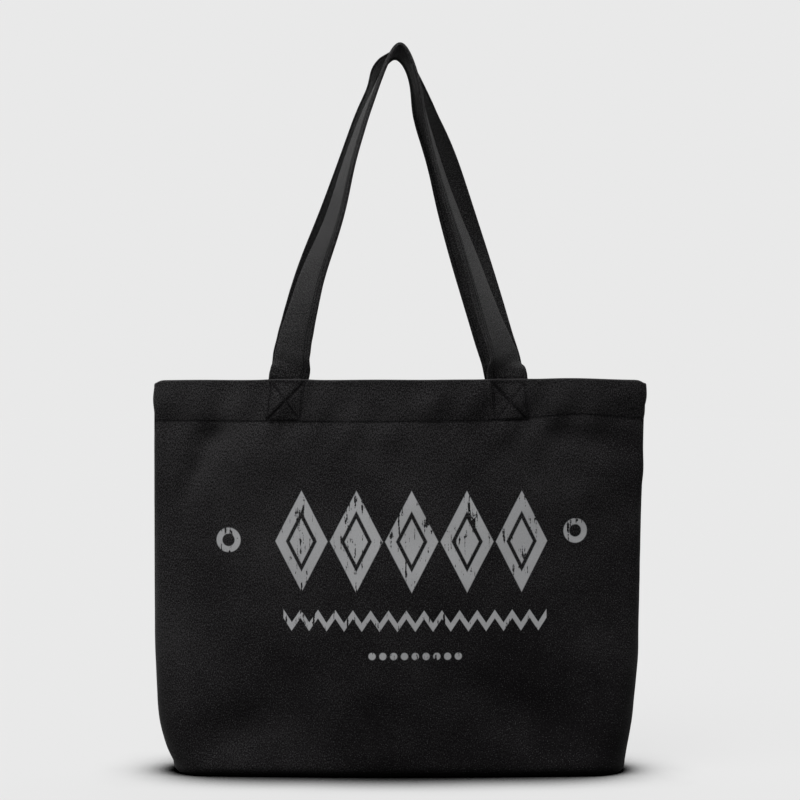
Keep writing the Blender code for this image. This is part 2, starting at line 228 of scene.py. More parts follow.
# %% Dents, waves and the hem's pucker
BROAD_WAVE, MIDDLE_WAVE, FINE_WAVE = 0.0026, 0.0015, 0.00016
DENT_STRENGTH = 3.1        # deepens every dent alike
HEM_GROOVE = 0.00060       # sunk by the stitch row
HEM_PUCKER = 0.00085       # gathered along it
HEM_SWELL = 0.0012         # the thicker hem above it
HEM_WAVE = 0.0032          # loose cloth on both sides of it
BOX_GROOVE, TIGHT_GROOVE = 0.00040, 0.00070
STRAP_SWELL = 0.0007       # a strap's end behind the hem
DENTS = {
    FRONT: (  # x, z, radius across, radius up, depth, tilt in degrees
        (-0.162, 0.292, 0.015, 0.011, 0.0022, 25),
        (-0.178, 0.262, 0.010, 0.030, 0.0016, -28),
        (-0.128, 0.272, 0.026, 0.020, -0.0016, 20),
        (0.148, 0.291, 0.020, 0.010, 0.0018, -12),
        (0.186, 0.285, 0.011, 0.016, 0.0018, 20),
        (0.165, 0.250, 0.030, 0.026, -0.0014, 0),
        (-0.135, 0.040, 0.034, 0.022, 0.0022, 30),
        (0.120, 0.052, 0.050, 0.022, 0.0018, -20),
        (0.010, 0.160, 0.090, 0.090, -0.0026, 0),
    ),
    BACK: (
        (-0.150, 0.288, 0.018, 0.012, 0.0020, 15),
        (0.160, 0.285, 0.016, 0.014, 0.0020, -20),
        (0.060, 0.240, 0.050, 0.030, 0.0016, 10),
        (-0.100, 0.060, 0.050, 0.026, 0.0020, 25),
        (0.130, 0.045, 0.040, 0.022, 0.0020, -25),
        (0.000, 0.150, 0.080, 0.080, -0.0024, 0),
    ),
}


def waves(x, z, length, seed):
    """Smooth waves of about one length, between -1 and 1."""
    chance = np.random.default_rng(seed)
    total = np.zeros_like(x)
    for _ in range(8):
        heading = chance.uniform(0, math.pi)
        size = length * chance.uniform(0.75, 1.4)
        along = x * math.cos(heading) + z * math.sin(heading)
        total += np.sin(2 * math.pi * along / size + chance.uniform(0, 2 * math.pi))
    return total / 8


def hem_height(x, side):
    """Height of the hem's stitch row, which was sewn a little unevenly."""
    if side == FRONT:
        rise = 0.0052 * np.exp(-((x - 0.155) / 0.050) ** 2)
        return HEM_LINE + rise - 0.0012 * np.exp(-((x + 0.05) / 0.12) ** 2)
    return HEM_LINE + 0.0020 * np.sin(x / 0.05)


def top_wave(x, side):
    """How far the top edge rises or dips."""
    corner = np.where(x < 0, half_width(HEIGHT, -1) + x, half_width(HEIGHT, 1) - x)
    wave = -0.0028 * np.exp(-(np.clip(corner, 0, None) / 0.0045) ** 2)
    if side == FRONT:
        wave = wave + 0.0014 * np.exp(-((x - 0.150) / 0.040) ** 2)
    for foot in (FOOT_SHIFT[side, -1] - STRAP_X, FOOT_SHIFT[side, 1] + STRAP_X):
        wave = wave + 0.0006 * np.exp(-((x - foot) / (STRAP_WIDTH * 0.6)) ** 4)
    return wave + 0.0003 * waves(x, x * 0, 0.07, 5 + side)


def cross_distance(x, z, side, first=0):
    """Distance on the flat cloth to the nearest line of a boxed cross, from this line of it on."""
    nearest = np.full(np.broadcast(x, z).shape, 1.0)
    for hand in (-1, 1):
        for (ax, az), (bx, bz) in cross_lines(side, hand)[first:]:
            long = math.hypot(bx - ax, bz - az)
            along = ((x - ax) * (bx - ax) + (z - az) * (bz - az)) / long ** 2
            along = np.clip(along, 0, 1)
            nearest = np.minimum(nearest, np.hypot(x - ax - along * (bx - ax), z - az - along * (bz - az)))
    return nearest


def give(x, z, side):
    """How far the cloth stands out from the plain outline; negative is a dent."""
    out = BROAD_WAVE * waves(x, z, 0.150, 11 + side) + MIDDLE_WAVE * waves(x, z, 0.060, 23 + side)
    out += FINE_WAVE * waves(x, z, 0.024, 31 + side)
    for cx, cz, rx, rz, depth, tilt in DENTS[side]:
        angle = math.radians(tilt)
        across = (x - cx) * math.cos(angle) + (z - cz) * math.sin(angle)
        up = -(x - cx) * math.sin(angle) + (z - cz) * math.cos(angle)
        out -= DENT_STRENGTH * depth * np.exp(-(across / rx) ** 2 - (up / rz) ** 2)
    line = z - hem_height(x, side)
    pucker = 1 + 0.45 * np.sin(2 * math.pi * x / 0.0085 + 2 * waves(x, x * 0, 0.03, 3))
    out -= HEM_GROOVE * np.exp(-(line / 0.0009) ** 2)
    out -= HEM_PUCKER * pucker * np.exp(-((line + 0.001) / 0.0060) ** 2)
    out += HEM_SWELL * np.exp(-((line - 0.018) / 0.011) ** 2)
    out += HEM_WAVE * waves(x, z, 0.040, 47 + side) * np.exp(-((line - 0.004) / 0.036) ** 2)
    for foot in (FOOT_SHIFT[side, -1] - STRAP_X, FOOT_SHIFT[side, 1] + STRAP_X):
        strap = ease((STRAP_WIDTH / 2 + 0.002 - np.abs(x - foot)) / 0.004)
        out += STRAP_SWELL * strap * ease((line + 0.001) / 0.003)
    out -= BOX_GROOVE * np.exp(-(cross_distance(x, z, side) / 0.0010) ** 2)
    out -= TIGHT_GROOVE * np.exp(-(cross_distance(x, z, side, first=5) / 0.0010) ** 2)
    return out * ease((z - 0.002) / 0.020)


# %% [markdown]
# ## A body panel
# One panel is a single sheet. Its rows start at the seam under the base, run out along the floor, turn
# up around the fold, climb the face, roll over the top edge and come back down inside as the hem. A
# grid primitive is the flat, uncut cloth, and each of its points is laid at its place on the bag. Rows
# are close together where the cloth bends sharply, and wide apart where it lies flat.

# %% Rows of a panel from the base seam to the inside of the hem
def panel_rows():
    """Height, inset and share of the floor left of each row; share 1 is past the floor."""
    rows = [(0.0, FLOOR_FOLD, share) for share in np.linspace(0.0, 1.0, 9)[:-1]]
    for angle in np.linspace(math.pi / 2, 0, 8)[:-1]:
        rows.append((FLOOR_FOLD * (1 - math.sin(angle)), FLOOR_FOLD * (1 - math.cos(angle)), 1.0))
    stops = (FLOOR_FOLD, HEM_LINE - 0.008, HEM_LINE + 0.010, HEIGHT - HEM_ROLL)
    for low, high, count in zip(stops, stops[1:], (78, 29, 27)):
        rows += [(z, 0.0, 1.0) for z in np.linspace(low, high, count)[:-1]]
    for angle in np.linspace(0, math.pi, 9):
        rows.append((HEIGHT - HEM_ROLL + HEM_ROLL * math.sin(angle), HEM_ROLL * (1 - math.cos(angle)), 1.0))
    for z in np.linspace(HEIGHT - HEM_ROLL, HEM_LINE - HEM_TURN, 16)[1:]:
        rows.append((z, 2 * HEM_ROLL, 1.0))
    return rows


def laid_panel(side):
    """World place of every grid point, row by row."""
    grid = np.zeros((len(panel_rows()), COLUMNS, 3))
    for index, (z, inset, floor_share) in enumerate(panel_rows()):
        inside = index > 0 and inset > HEM_ROLL and z > FLOOR_FOLD
        run = SEAM_RUN * ease((z - 0.004) / 0.012) * ease((HEM_LINE - 0.004 - z) / 0.004) + 0.0006
        x, d, angle = row_of_cloth(max(z, FLOOR_FOLD), inset, 0.0006 if inside else run)
        bend = ease((math.pi / 2 - np.abs(angle)) / 0.35) * 0.85 + 0.15 * (np.abs(angle) < 1.7)
        out = give(x, np.full_like(x, z), side) * bend
        x = x + out * np.sin(angle)
        d = d + out * np.cos(angle)
        x = x * (0.90 + 0.10 * floor_share)
        d = d * floor_share
        top = ease((z - HEM_LINE) / (HEIGHT - HEM_LINE))
        grid[index, :, 0] = x
        grid[index, :, 1] = side * (PANEL_GAP / 2 + np.clip(d, 0, None))
        under = ease((FLOOR_FOLD - z) / FLOOR_FOLD) * ease((np.abs(angle) - math.pi / 2) / 0.8)
        grid[index, :, 2] = z + top_wave(x, side) * top + (CANVAS + 0.0002) * under
    return grid


# %% Turn a grid primitive into laid cloth
def deselect_all():
    bpy.ops.object.select_all(action="DESELECT")


def cloth_from_grid(name, grid, flip):
    """A grid primitive laid at grid's places, with a UV map in metres of cloth; it stays selected."""
    rows, columns = grid.shape[:2]
    deselect_all()
    bpy.ops.mesh.primitive_grid_add(x_subdivisions=columns - 1, y_subdivisions=rows - 1, size=1)
    piece = bpy.context.object
    piece.name = name
    mesh = piece.data
    flat = np.zeros(len(mesh.vertices) * 3)
    mesh.vertices.foreach_get("co", flat)
    flat = flat.reshape(-1, 3)
    column = np.rint((flat[:, 0] + 0.5) * (columns - 1)).astype(int)
    row = np.rint((flat[:, 1] + 0.5) * (rows - 1)).astype(int)
    mesh.vertices.foreach_set("co", grid[row, column].ravel())
    across = np.linalg.norm(np.diff(grid, axis=1), axis=2)
    u = np.concatenate([np.zeros((rows, 1)), np.cumsum(across, axis=1)], axis=1)
    u -= u[:, columns // 2:columns // 2 + 1]
    middle = grid[:, columns // 2]
    v = np.concatenate([[0], np.cumsum(np.linalg.norm(np.diff(middle, axis=0), axis=1))])
    corner = np.zeros(len(mesh.loops), int)
    mesh.loops.foreach_get("vertex_index", corner)
    uv = np.stack([u[row, column], v[row]], axis=1)[corner]
    mesh.uv_layers[0].data.foreach_set("uv", uv.ravel())
    if flip:
        bpy.ops.object.mode_set(mode="EDIT")
        bpy.ops.mesh.select_all(action="SELECT")
        bpy.ops.mesh.flip_normals()
        bpy.ops.object.mode_set(mode="OBJECT")
    mesh.update()
    return piece


def close_tube(piece):
    """Join a swept loop where it meets itself, cap both of its ends and turn its faces outwards."""
    bpy.ops.object.mode_set(mode="EDIT")
    bpy.ops.mesh.select_all(action="SELECT")
    bpy.ops.mesh.remove_doubles(threshold=0.00002)
    bpy.ops.mesh.select_all(action="DESELECT")
    bpy.ops.mesh.select_non_manifold()
    bpy.ops.mesh.fill_holes(sides=0)
    bpy.ops.mesh.select_all(action="SELECT")
    bpy.ops.mesh.normals_make_consistent(inside=False)
    bpy.ops.object.mode_set(mode="OBJECT")
    bpy.ops.object.shade_smooth()


def store_painted_shading(piece, creases):
    """Store on each point the painted shade (positive) or painted highlight (negative) for the material."""
    attribute = piece.data.attributes.new("painted_shade_and_highlight", "FLOAT", "POINT")
    attribute.data.foreach_set("value", creases)


# %% Sew up the two panels
def sew_panel(name, side):
    piece = cloth_from_grid(name, laid_panel(side), flip=side == BACK)
    place = np.zeros(len(piece.data.vertices) * 3)
    piece.data.vertices.foreach_get("co", place)
    x, _, z = place.reshape(-1, 3).T
    # Painted shade on the points: the colour is darkened along the hem's stitch row and the boxed crosses,
    # most of all along the tight diagonal.
    row = np.exp(-((z - hem_height(x, side)) / 0.00065) ** 2)
    box = 1.10 * np.exp(-(cross_distance(x, z, side) / 0.0008) ** 2)
    tight = 1.6 * np.exp(-(cross_distance(x, z, side, first=5) / 0.0007) ** 2)
    # A painted highlight along the rubbed top edge, where light from above catches the roll.
    painted_edge_highlight = 1.3 * np.exp(-((HEIGHT + top_wave(x, side) - z) / 0.0010) ** 2)
    store_painted_shading(piece, row + box + tight - painted_edge_highlight)
    for _ in ("outside", "inside"):
        piece.data.materials.append(None)
    wall = piece.modifiers.new("Solidify", "SOLIDIFY")
    wall.thickness = CANVAS
    wall.offset = -1.0
    wall.material_offset = 1
    bpy.ops.object.modifier_apply(modifier=wall.name)
    bpy.ops.object.shade_smooth()
    print(name, len(piece.data.polygons), "faces")
    return piece


front_body = sew_panel("front_body", FRONT)
back_body = sew_panel("back_body", BACK)

# %% [markdown]
# ## The straps
# A strap is a strip of canvas folded in three and sewn along the fold. It stands up flat against the
# hem and turns edge on as it rises, so that at the top its width runs front to back and both straps
# lie side by side. The middle line is a hyperbola: nearly straight legs and a tight round top.
#
# No two legs hang alike. Each has a power that says how soon it turns, and a lean that shifts its
# middle line sideways about one height.

# %% Middle line and twist of a strap
TURNING = {(FRONT, -1): 0.45, (FRONT, 1): 0.27, (BACK, -1): 0.50, (BACK, 1): 1.60}
LEANS = {  # amount, share of the rise where it is greatest, spread
    (FRONT, -1): ((-0.0056, 0.28, 0.14), (-0.0028, 0.12, 0.08), (-0.0026, 0.66, 0.16)),
    (FRONT, 1): ((-0.0058, 0.62, 0.25), (0.0022, 0.08, 0.07)),
    (BACK, -1): ((-0.0064, 0.28, 0.22), (-0.0008, 0.10, 0.07), (-0.0010, 0.62, 0.16)),
    (BACK, 1): ((-0.0034, 0.50, 0.30), (0.0010, 0.05, 0.05), (-0.0032, 0.83, 0.12)),
}
SPREAD = {FRONT: 0.014, BACK: 0.026}
APEX_SHIFT = {FRONT: -0.0008, BACK: -0.0034}
APEX_SKEW = 0.071
LOBE = {FRONT: 0.0, BACK: -0.0034}     # the back strap swings out just before its top, on the left
LOBE_UNTWIST = 28                      # and untwists there, this much for each metre
APEX_LIFT = {FRONT: 0.0018, BACK: 0.0022}
PARTING = 0.0010                       # between the two straps at the top
STRAP_ROWS = 360
FOOT_Z = HEIGHT + 0.0013               # where a strap comes free of the hem
SEWN = HEIGHT - HEM_LINE - 0.0015      # length of its sewn end


def cloth_depth(x, z, side):
    """Depth of the canvas's outside at x and z on the broad face."""
    depth, _, _, broad = outline_sizes(z)
    squeeze = (depth - SEAM_ROLL) / depth
    base = SEAM_ROLL + (np.sqrt(broad ** 2 - x * x) - (broad - depth)) * squeeze
    return PANEL_GAP / 2 + base + give(np.atleast_1d(x), np.atleast_1d(z), side)


def strap_line(side):
    """X, Z and share of the length of each row of a strap's middle line, and the whole length."""
    spread = SPREAD[side]
    top = HANDLE_TOP - STRAP_THICKNESS / 2 + APEX_LIFT[side]
    steep = (top - FOOT_Z) / (math.hypot(STRAP_X, spread) - spread)
    fine_x = np.linspace(-STRAP_X, STRAP_X, 8001)
    fine_z = top - steep * (np.hypot(fine_x, spread) - spread)
    step = np.hypot(np.diff(fine_x), np.diff(fine_z))
    length = np.concatenate([[0], np.cumsum(step)])
    slope = np.arctan(steep * fine_x / np.hypot(fine_x, spread))
    measure = length / length[-1] + 0.6 * (slope - slope[0]) / (slope[-1] - slope[0])
    x = np.interp(np.linspace(0, measure[-1], STRAP_ROWS), measure, fine_x)
    share = np.interp(x, fine_x, length) / length[-1]
    z = top - steep * (np.hypot(x, spread) - spread)
    return x, z, share, length[-1]


def strap_frames(side):
    """Centre, inner-edge direction, outer-face direction and share of the rise of each row."""
    x, z, share, _ = strap_line(side)
    rise = 1 - np.abs(2 * share - 1)
    hand = np.where(share < 0.5, -1, 1)
    power = np.where(hand < 0, TURNING[side, -1], TURNING[side, 1])
    turned = np.clip(rise, 1e-9, 1) ** power * ease(rise / 0.05)
    turned = turned + (1 - turned) * ease((rise - 0.80) / 0.20)
    bulge = np.where(hand < 0, np.exp(-((rise - 0.93) / 0.05) ** 2), 0) * ease((1 - rise) / 0.05)
    turned = turned - LOBE_UNTWIST * abs(LOBE[side]) * bulge
    lean = np.zeros_like(x)
    for end in (-1, 1):
        for amount, place, reach in LEANS[side, end]:
            lean += np.where(hand == end, amount * np.exp(-((rise - place) / reach) ** 2), 0)
    shift = np.where(hand < 0, FOOT_SHIFT[side, -1], FOOT_SHIFT[side, 1])
    lean = (lean * ease(rise / 0.07) + shift) * (1 - ease((rise - 0.75) / 0.25))
    top_share = ease((rise - 0.6) / 0.4)
    x = x + lean + LOBE[side] * bulge + APEX_SHIFT[side] * top_share
    twist = math.pi / 2 * turned
    foot_depth = float(cloth_depth(STRAP_X, HEIGHT, side)[0]) - 2 * HEM_ROLL - STRAP_THICKNESS
    near = PARTING / 2 + STRAP_WIDTH / 2 * np.sin(twist)
    depth = near + (foot_depth - PARTING / 2) * (1 - turned)
    centre = np.stack([x, side * depth, z], axis=1)
    along = np.gradient(centre, axis=0)
    along[:, 1] = 0
    along /= np.linalg.norm(along, axis=1)[:, None]
    inward = np.stack([along[:, 2], 0 * x, -along[:, 0]], axis=1)
    inner = inward * np.cos(twist)[:, None]
    inner[:, 1] = side * np.sin(twist)
    inner[:, 0] -= side * APEX_SKEW * top_share
    face = np.cross(along, inner) * side
    return centre, inner, face, rise


# %% [markdown]
# The strap's cross-section is drawn once, as a closed loop: the outer face with the raised flap of
# the fold along its inner edge, a rounded edge, the flat inner face, and the other rounded edge. The
# flap's margin curls back a little, as a sewn edge does.

# %% Cross-section of a strap
FLAP = 0.0058              # flap's edge, in from the strap's inner edge
FLAP_STEP = 0.00045
STITCH_ROWS = (0.0024, 0.0047)


def strap_section():
    """(along the width, out of the face) points of the closed section, inner edge first."""
    half_w, half_t = STRAP_WIDTH / 2, STRAP_THICKNESS / 2
    edge = half_w - half_t
    outer = [(w, half_t) for w in np.linspace(edge, half_w - FLAP + 0.0003, 13)]
    outer += [(w, half_t - FLAP_STEP) for w in np.linspace(half_w - FLAP - 0.0003, -edge, 20)]
    turn = np.linspace(math.pi / 2, -math.pi / 2, 6)[1:-1]
    far_t = half_t - FLAP_STEP / 2
    far = [(-edge - far_t * math.cos(a), far_t * math.sin(a) - FLAP_STEP / 2) for a in turn]
    inner = [(w, -half_t) for w in np.linspace(-edge, edge, 22)]
    near = [(edge + half_t * math.cos(a), -half_t * math.sin(a)) for a in turn]
    loop = outer + far + inner + near
    return np.array(loop + loop[:1])


def strap_curl(w, out, rise):
    """Curl of the flap's margin and the soft waves of the strap."""
    margin = np.clip(w - (STRAP_WIDTH / 2 - 0.0075), 0, None) / 0.0075
    curl = -0.0022 * margin ** 2 * ease(rise / 0.25)
    height = rise * 0.30
    ripple = 0.0011 * np.sin(2 * math.pi * height / 0.017 + w * 60) * np.exp(-height / 0.022)
    sewn = -0.00042 * sum(np.exp(-((STRAP_WIDTH / 2 - row - w) / 0.0007) ** 2) for row in STITCH_ROWS)
    soft = 0.00035 * waves(height + 0 * w, w, 0.05, 41)
    return out + curl + (ripple + soft) * ease(rise / 0.02) + sewn * (out > 0)


# %% [markdown]
# Below the top edge each end of the strap lies flat against the inside of the hem, between the folded
# canvas and the air. Those rows follow the cloth instead of the free line, and the first rows above
# the edge change smoothly from one to the other.

# %% Lay a strap
SEWN_ROWS = 16


def laid_strap(side):
    centre, inner, face, rise = strap_frames(side)
    section = strap_section()
    w, t = section[:, 0], section[:, 1]
    grid = []
    for end in (-1, 1):
        rows = []
        foot_inner = -end
        for z in np.linspace(FOOT_Z - SEWN - 0.0013, FOOT_Z - 0.001, SEWN_ROWS):
            x = end * STRAP_X + FOOT_SHIFT[side, end] + foot_inner * w
            back = cloth_depth(x, np.full_like(x, min(z, HEIGHT)), side) - 2 * HEM_ROLL - STRAP_THICKNESS / 2
            depth = back - 0.0003 + t
            rows.append(np.stack([x, side * depth, np.full_like(x, z)], axis=1))
        grid.append(np.array(rows))
    free = []
    for index in range(len(centre)):
        out = strap_curl(w, t, rise[index])
        row = centre[index] + inner[index] * w[:, None] + face[index] * out[:, None]
        hold = 1 - ease(rise[index] / 0.045)
        x = row[:, 0]
        back = cloth_depth(np.clip(x, -0.2, 0.2), np.full_like(x, HEIGHT), side)
        depth = back - 2 * HEM_ROLL - STRAP_THICKNESS / 2 - 0.0003 + t
        row[:, 1] = row[:, 1] * (1 - hold) + side * depth * hold
        free.append(row)
    return np.concatenate([grid[0], np.array(free), grid[1][::-1]])


def sew_strap(name, side):
    grid = laid_strap(side)
    piece = cloth_from_grid(name, grid, flip=side == FRONT)
    w, out = strap_section().T
    # Painted shade on the points: darker along both stitch rows and the flap's edge, and a painted shadow
    # across the strap just above the top edge, where it leaves the hem.
    rows = sum(np.exp(-((STRAP_WIDTH / 2 - row - w) / 0.0005) ** 2) for row in STITCH_ROWS)
    flap = np.exp(-((STRAP_WIDTH / 2 - FLAP - w) / 0.0004) ** 2) * (out > 0)
    above = grid[:, :, 2] - HEIGHT
    foot = 0.9 * np.exp(-(above / 0.0022) ** 2)
    store_painted_shading(piece, (rows + flap + foot).ravel())
    close_tube(piece)
    print(name, len(piece.data.polygons), "faces")
    return piece


front_strap = sew_strap("front_strap", FRONT)
back_strap = sew_strap("back_strap", BACK)

# %% [markdown]
# ## Thread
# Every seam on the bag is a row of separate stitches, and they are what makes it look sewn. One stitch
# is a small sphere with few faces, drawn out along the row and pressed flat, so that its ends dip into
# the cloth. It is modelled once. Each row then repeats it along a path that lies on the cloth. There
# are thousands, so the copies are made as one array of points, which is quick and keeps them equal.

# %% Model one stitch and repeat it along paths
deselect_all()
bpy.ops.mesh.primitive_uv_sphere_add(segments=6, ring_count=5, radius=0.5, rotation=(0, math.pi / 2, 0))
bpy.ops.object.transform_apply(location=False, rotation=True, scale=False)
STITCH_POINTS = np.array([vertex.co[:] for vertex in bpy.context.object.data.vertices])
# The sphere's faces come in another order each time, so they are sorted to give the same mesh every run.
STITCH_FACES = sorted(list(face.vertices) for face in bpy.context.object.data.polygons)
bpy.data.objects.remove(bpy.context.object)


def read_along(at, length, path):
    """The path's values at these distances along it."""
    return np.stack([np.interp(at, length, path[:, axis]) for axis in range(3)], axis=1)


def spaced(path, pitch):
    """Evenly spaced places along a path, with the direction of the path at each."""
    step = np.linalg.norm(np.diff(path, axis=0), axis=1)
    length = np.concatenate([[0], np.cumsum(step)])
    count = max(int(length[-1] / pitch), 1)
    at = (np.arange(count) + 0.5) * length[-1] / count
    along = read_along(at + pitch / 4, length, path) - read_along(at - pitch / 4, length, path)
    return read_along(at, length, path), along / np.linalg.norm(along, axis=1)[:, None], at, length


def stitches(path, outward, pitch=STITCH_PITCH, size=(STITCH_LENGTH, THREAD, THREAD * 0.75), slant=0.0):
    """One row of stitches as an array of points: stitch, point of the stitch, axis."""
    place, along, at, length = spaced(path, pitch)
    out = read_along(at, length, outward)
    out -= along * np.sum(out * along, axis=1)[:, None]
    out /= np.linalg.norm(out, axis=1)[:, None]
    across = np.cross(out, along)
    lengthwise = along * math.cos(slant) + across * math.sin(slant)
    widthwise = across * math.cos(slant) - along * math.sin(slant)
    chance = np.random.default_rng(len(at))
    place = place + widthwise * chance.normal(0, 0.00005, len(at))[:, None]
    made = place[:, None] + out[:, None] * THREAD * 0.18
    for axis, direction in enumerate((lengthwise, widthwise, out)):
        made = made + direction[:, None] * (STITCH_POINTS[:, axis] * size[axis])[None, :, None]
    return made


def sew_thread(name, rows):
    """Join rows of stitches into one piece."""
    points = np.concatenate(rows)
    count = len(STITCH_POINTS)
    faces = []
    for first in range(0, len(points) * count, count):
        faces += [[first + index for index in face] for face in STITCH_FACES]
    mesh = bpy.data.meshes.new(name)
    mesh.from_pydata(points.reshape(-1, 3).tolist(), [], faces)
    mesh.shade_smooth()
    piece = bpy.data.objects.new(name, mesh)
    bpy.context.scene.collection.objects.link(piece)
    print(name, len(points), "stitches")
    return piece


# %% [markdown]
# The hem's row runs right round the bag. It shows on the outside and on the turned-in layer inside, so
# both are sewn. Its path is read off the laid panel itself: in each column, the place where the cloth
# crosses the row's height.

# %% Sew the hems
def hem_paths(side):
    """Outside and inside path of a hem's stitch row, each with its outward direction."""
    grid = laid_panel(side)
    top = int(np.argmax(grid[:, COLUMNS // 2, 2]))
    edge = RUN_COLUMNS + ROLL_COLUMNS
    found = []
    for layer, away in ((grid[:top + 1], -1), (grid[top:][::-1], 1)):
        path = []
        for column in range(edge, COLUMNS - edge):
            strip = layer[:, column]
            z = float(hem_height(np.interp(HEM_LINE, strip[:, 2], strip[:, 0]), side))
            path.append([np.interp(z, strip[:, 2], strip[:, axis]) for axis in range(3)])
        path = np.array(path)
        along = np.gradient(path, axis=0)
        out = np.cross(along, (0, 0, 1)) * side * away
        found.append((path, out / np.linalg.norm(out, axis=1)[:, None]))
    return found


hem_threads = {}
for side, word in ((FRONT, "front"), (BACK, "back")):
    rows = [stitches(path, out) for path, out in hem_paths(side)]
    hem_threads[word] = sew_thread(f"{word}_hem_thread", rows)


# %% [markdown]
# Each end of a strap is held by a box of stitches with a cross in it, sewn through the hem and the
# strap. It spreads the load over the cloth. The lines are drawn flat, as X and Z, then pressed onto
# the outside of the hem and onto the strap's face inside.

# %% Sew the boxed crosses
def press(line, side, inset, steps=40):
    """A flat line laid on the cloth, at a depth below its outside, and its outward direction."""
    share = np.linspace(0, 1, steps)
    x = line[0][0] + (line[1][0] - line[0][0]) * share
    z = line[0][1] + (line[1][1] - line[0][1]) * share
    z = z + (hem_height(x, side) - HEM_LINE) * (HEIGHT - z) / (HEIGHT - HEM_LINE)
    depth = cloth_depth(x, z, side) - inset
    return np.stack([x, side * depth, z], axis=1), np.tile((0.0, float(side), 0.0), (steps, 1))


cross_threads = {}
for (side, hand) in BOX_LEAN:
    rows = []
    for line in cross_lines(side, hand):
        rows.append(stitches(*press(line, side, 0.0)))
        path, out = press(line, side, 2 * HEM_ROLL + STRAP_THICKNESS + 0.0003)
        rows.append(stitches(path, -out))
    name = f"{'front' if side == FRONT else 'back'}_{'left' if hand < 0 else 'right'}_cross"
    cross_threads[name] = sew_thread(f"{name}_thread", rows)


# %% [markdown]
# The strap's fold is closed by two rows close to its inner edge. They turn with the strap, so their
# paths come from the laid strap: a line at one place across the section, from one foot to the other.

# %% Sew the straps
def strap_rows(side):
    grid = laid_strap(side)[SEWN_ROWS:-SEWN_ROWS]
    section = strap_section()[:-1]
    rows = []
    for inset in STITCH_ROWS:
        for front_face in (True, False):
            same = np.where((section[:, 1] > 0) == front_face)[0]
            same = same[np.argsort(section[same, 0])]
            place = np.interp(STRAP_WIDTH / 2 - inset, section[same, 0], np.arange(len(same)))
            low = same[int(place)]
            high = same[min(int(place) + 1, len(same) - 1)]
            blend = place - int(place)
            path = grid[:, low] * (1 - blend) + grid[:, high] * blend
            wide = grid[:, same[-1]] - grid[:, same[0]]
            out = np.cross(np.gradient(path, axis=0), wide)
            other = grid[:, :-1].mean(axis=1)
            out *= np.sign(np.sum(out * (path - other), axis=1).sum())
            out /= np.linalg.norm(out, axis=1)[:, None]
            rows.append(stitches(path, out))
    return rows


front_strap_thread = sew_thread("front_strap_thread", strap_rows(FRONT))
back_strap_thread = sew_thread("back_strap_thread", strap_rows(BACK))


# %% [markdown]
# ## Seams inside the bag
# The raw edges inside are bound by an overlock machine: both layers lie together, and loops of thread
# wrap around their edge. The binding is a flat strip with rounded edges, made by sweeping a small
# section along the seam. Slanted stitches cross it on both faces, and a row sits along its free edge.

# %% Bind a seam with overlock stitches
BINDING_WIDTH = 0.0078
BINDING_HALF = 0.0010


def binding(name, path, across, up):
    """A bound seam along a path; across points to its free edge, up out of its flat face."""
    path, across, up = np.array(path, float), np.array(across, float), np.array(up, float)
    place, _, at, _ = spaced(path, 0.0025)
    wobble = waves(at, at * 0, 0.05, 7) * 0.0005
    bends = np.linspace(-math.pi / 2, math.pi / 2, 5)
    edge = BINDING_WIDTH - BINDING_HALF
    free = [(edge + BINDING_HALF * math.cos(bend), BINDING_HALF * math.sin(bend)) for bend in bends]
    sewn = [(BINDING_HALF - BINDING_HALF * math.cos(bend), -BINDING_HALF * math.sin(bend)) for bend in bends]
    section = np.array(free + sewn + free[:1])
    reach = section[None, :, :1] + wobble[:, None, None]
    grid = place[:, None] + across * reach + up * section[None, :, 1:]
    piece = cloth_from_grid(name, grid, flip=False)
    close_tube(piece)
    rows = []
    for face in (-1, 1):
        middle = place + across * (BINDING_WIDTH * 0.55 + wobble[:, None]) + up * BINDING_HALF * face
        out = np.tile(up * face, (len(place), 1))
        size = (BINDING_WIDTH * 0.80, 0.00055, 0.00045)
        rows.append(stitches(middle, out, pitch=0.0019, size=size, slant=math.radians(78)))
        inner = place + across * (BINDING_WIDTH * 0.18 + wobble[:, None]) + up * BINDING_HALF * face
        rows.append(stitches(inner, out, pitch=0.0027))
    rim = place + across * (BINDING_WIDTH + wobble[:, None])
    rows.append(stitches(rim, np.tile(across, (len(place), 1)), pitch=0.0019, size=(0.0022, 0.0009, 0.0006)))
    thread = sew_thread(f"{name}_thread", rows)
    return piece, thread


def side_seam_path(hand):
    heights = np.linspace(0.012, HEM_LINE - HEM_TURN + 0.0009, 80)
    return [(hand * (half_width(z, hand) - SEAM_ROLL - 0.0016), 0, z) for z in heights]


bindings = {}
for hand, word in ((-1, "left"), (1, "right")):
    inward = (-hand, 0, 0)
    seam = f"{word}_side_seam"
    bindings[seam] = binding(f"{seam}_edge", side_seam_path(hand), inward, (0, 1, 0))
    seam = f"{word}_corner_seam"
    low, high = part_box(seam)
    outer = max(abs(low.x), abs(high.x))
    middle = (low.z + high.z) / 2
    path = [(hand * (outer - 0.002 * (y / high.y) ** 2), y, middle) for y in np.linspace(low.y, high.y, 12)]
    bindings[seam] = binding(f"{seam}_edge", path, inward, (0, 0, 1))
low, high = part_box("base_seam")
path = [(x, low.y, (low.z + high.z) / 2) for x in np.linspace(low.x, high.x, 60)]
bindings["base_seam"] = binding("base_seam_edge", path, (0, 1, 0), (0, 0, 1))

# %% [markdown]
# ## Finishes
# Everything here is nearly black, so the finishes differ in how they catch light. Canvas is a plain
# weave: each thread goes over one and under the next. The weave is a node group that puts out a height
# and nothing else, so the canvas, the straps and the bindings share it at their own pitch. It reads
# the pieces' own UV maps, which are in metres of cloth, so the threads follow every fold.

